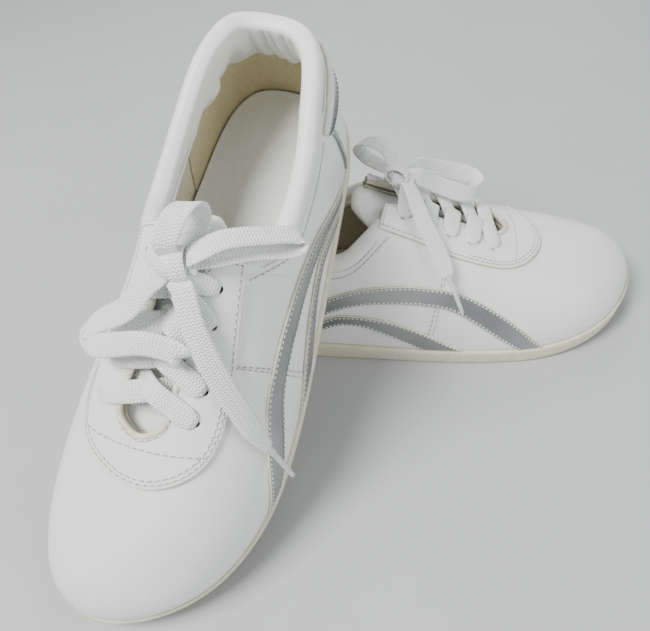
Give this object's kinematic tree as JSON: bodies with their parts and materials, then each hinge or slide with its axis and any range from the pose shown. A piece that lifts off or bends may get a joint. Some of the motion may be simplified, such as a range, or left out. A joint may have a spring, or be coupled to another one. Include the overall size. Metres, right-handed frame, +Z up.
{
  "type": "pair of cheer shoes",
  "caption": "Pair of low laced cheer shoes with padded collars and thin rubber soles, the left one leaning heel-up on the right one's collar.",
  "frame": {"origin": "centre of the pair's footprint, on the ground", "axes": "+X from the right shoe's heel to its toe, +Y towards the right shoe's inner side, +Z up"},
  "size_m": [0.283, 0.2372, 0.1708],
  "materials": {
    "white_leather": "smooth, slightly glossy",
    "silver_foil": "mirror-silver foil on a leather backing",
    "beige_lining": "woven canvas",
    "khaki_lining": "dense brushed fabric",
    "insole_cloth": "pale woven cloth",
    "rubber_sole": "cream, slightly translucent",
    "foam": "open-cell foam",
    "board": "pressed fibre board",
    "steel": "plain",
    "stiffener": "thermoplastic sheet",
    "white_tape": "flat woven tape, herringbone",
    "clear_tip": "clear sleeve"
  },
  "bodies": {
    "right_shoe": {"right_outsole": "rubber_sole", "right_midsole": "foam", "right_shank": "steel", "right_insole_board": "board", "right_footbed": "insole_cloth", "right_vamp": "white_leather", "right_vamp_lining": "beige_lining", "right_toe_puff": "stiffener", "right_outer_quarter": "white_leather", "right_outer_lining": "beige_lining", "right_inner_quarter": "white_leather", "right_inner_lining": "beige_lining", "right_back_panel": "white_leather", "right_heel_counter": "stiffener", "right_heel_lining": "khaki_lining", "right_lace_stay": "white_leather", "right_heel_tab": "silver_foil", "right_upper_stripe": "silver_foil", "right_lower_stripe": "silver_foil", "right_collar_cover": "white_leather", "right_collar_foam": "foam", "right_lacing": "white_tape", "right_lace_outer_loop": "white_tape", "right_lace_inner_loop": "white_tape", "right_lace_outer_end": "white_tape", "right_lace_inner_end": "white_tape", "right_tip_outer": "clear_tip", "right_tip_inner": "clear_tip"},
    "right_tongue": {"right_tongue_face": "white_leather", "right_tongue_foam": "foam"},
    "left_shoe": {"left_outsole": "rubber_sole", "left_midsole": "foam", "left_shank": "steel", "left_insole_board": "board", "left_footbed": "insole_cloth", "left_vamp": "white_leather", "left_vamp_lining": "beige_lining", "left_toe_puff": "stiffener", "left_outer_quarter": "white_leather", "left_outer_lining": "beige_lining", "left_inner_quarter": "white_leather", "left_inner_lining": "beige_lining", "left_back_panel": "white_leather", "left_heel_counter": "stiffener", "left_heel_lining": "khaki_lining", "left_lace_stay": "white_leather", "left_heel_tab": "silver_foil", "left_upper_stripe": "silver_foil", "left_lower_stripe": "silver_foil", "left_collar_cover": "white_leather", "left_collar_foam": "foam", "left_lacing": "white_tape", "left_lace_outer_loop": "white_tape", "left_lace_inner_loop": "white_tape", "left_lace_outer_end": "white_tape", "left_lace_inner_end": "white_tape", "left_tip_outer": "clear_tip", "left_tip_inner": "clear_tip"},
    "left_tongue": {"left_tongue_face": "white_leather", "left_tongue_foam": "foam"}
  },
  "joints": [
    {"name": "left_shoe_lift", "type": "slide", "parent": "right_shoe", "child": "left_shoe", "axis": [0, 0, 1], "range_m": [0, 0.15]},
    {"name": "right_tongue_flex", "type": "hinge", "parent": "right_shoe", "child": "right_tongue", "pos_m": [0.0714, 0.068, 0.04779], "axis": [0, -1, 0], "range_deg": [0, 12], "stiffness_Nm_per_rad": 1},
    {"name": "left_tongue_flex", "type": "hinge", "parent": "left_shoe", "child": "left_tongue", "pos_m": [-0.08857, -0.07182, 0.06979], "axis": [-0.9666, 0.2278, 0.1174], "range_deg": [0, 12], "stiffness_Nm_per_rad": 1}
  ]
}
